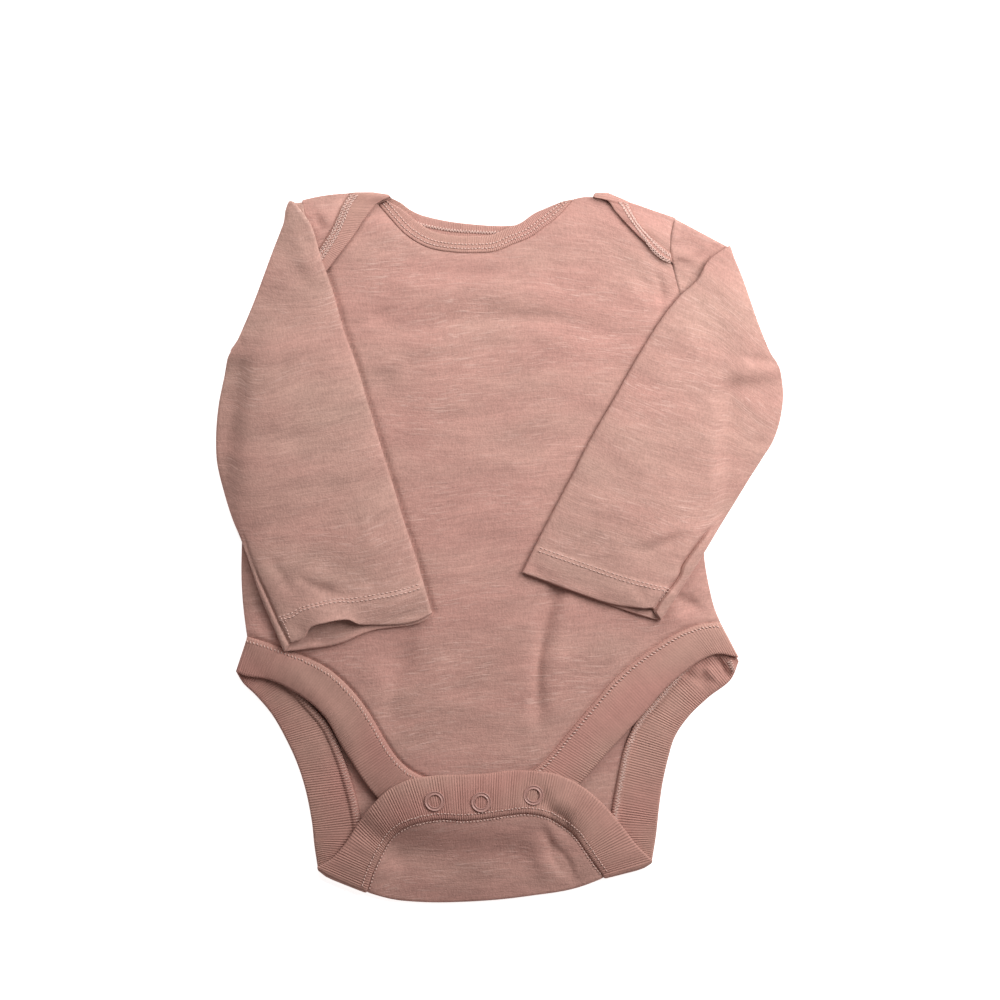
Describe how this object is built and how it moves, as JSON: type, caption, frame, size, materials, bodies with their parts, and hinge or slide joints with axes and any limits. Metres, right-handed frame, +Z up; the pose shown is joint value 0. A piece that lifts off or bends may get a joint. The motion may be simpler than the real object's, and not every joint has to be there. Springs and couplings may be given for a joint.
{
  "type": "baby onesie",
  "caption": "Long-sleeved baby bodysuit of slub jersey, laid flat front up with sleeves folded over the front, lap shoulders, ribbed leg bands and a crotch flap closed by ring snaps.",
  "frame": {"origin": "middle of the bounding box, on the surface that the garment lies on", "axes": "+Y from the crotch to the neck, +Z up from the surface, +X to the right as seen from above"},
  "size_m": [0.2948, 0.3696, 0.0114],
  "materials": {
    "jersey": "dusty pink cotton slub jersey, matt, with short pale streaks along the courses",
    "rib": "dusty pink cotton rib, fine ridges across the band, matt",
    "thread": "dusty pink sewing thread, slightly lighter than the cloth",
    "snap_enamel": "dusty pink coating on pressed metal, satin",
    "snap_steel": "plain pressed metal, hidden between flap and front"
  },
  "bodies": {
    "root": {"back_panel": "jersey", "front_panel": "jersey", "sleeve_left": "jersey", "sleeve_right": "jersey", "front_leg_band": "rib", "back_leg_band": "rib", "front_neck_binding": "rib", "back_neck_binding": "rib", "snap_ring_1": "snap_enamel", "snap_ring_2": "snap_enamel", "snap_ring_3": "snap_enamel", "snap_stud_1": "snap_steel", "snap_stud_2": "snap_steel", "snap_stud_3": "snap_steel"}
  },
  "joints": []
}
